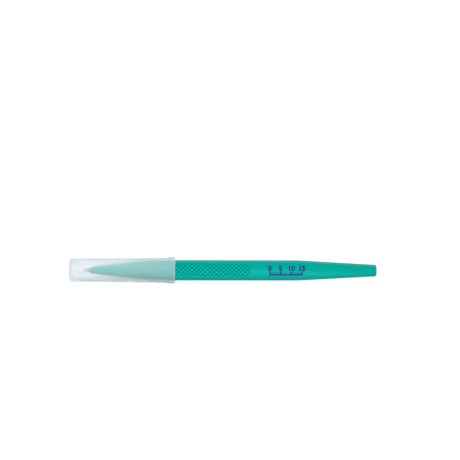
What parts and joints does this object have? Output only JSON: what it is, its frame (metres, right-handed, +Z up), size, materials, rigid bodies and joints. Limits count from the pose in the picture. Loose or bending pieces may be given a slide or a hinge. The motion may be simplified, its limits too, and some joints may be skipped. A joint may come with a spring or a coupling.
{
  "type": "dermal curette",
  "caption": "Disposable ring curette with a flat tapered plastic handle, crosshatched grips, a small steel ring blade and a pull-off frosted cap.",
  "frame": {"origin": "on the table, under the middle of the capped instrument's bounding box, as it lies at rest", "axes": "+X along the instrument towards the handle's rear end, with the cap's closed end at -X; +Z up from the table; Y across the flat handle"},
  "size_m": [0.1436, 0.0124, 0.014],
  "materials": {
    "handle_plastic": "satin moulded plastic, teal green",
    "blade_steel": "ground stainless steel",
    "cap_plastic": "frosted translucent thin-walled plastic"
  },
  "bodies": {
    "handle": {"handle": "handle_plastic", "blade": "blade_steel"},
    "cap": {"cap": "cap_plastic"}
  },
  "joints": [
    {"name": "cap_slide", "type": "slide", "parent": "handle", "child": "cap", "axis": [-0.9988, 0, 0.0497], "range_m": [0, 0.052]}
  ]
}
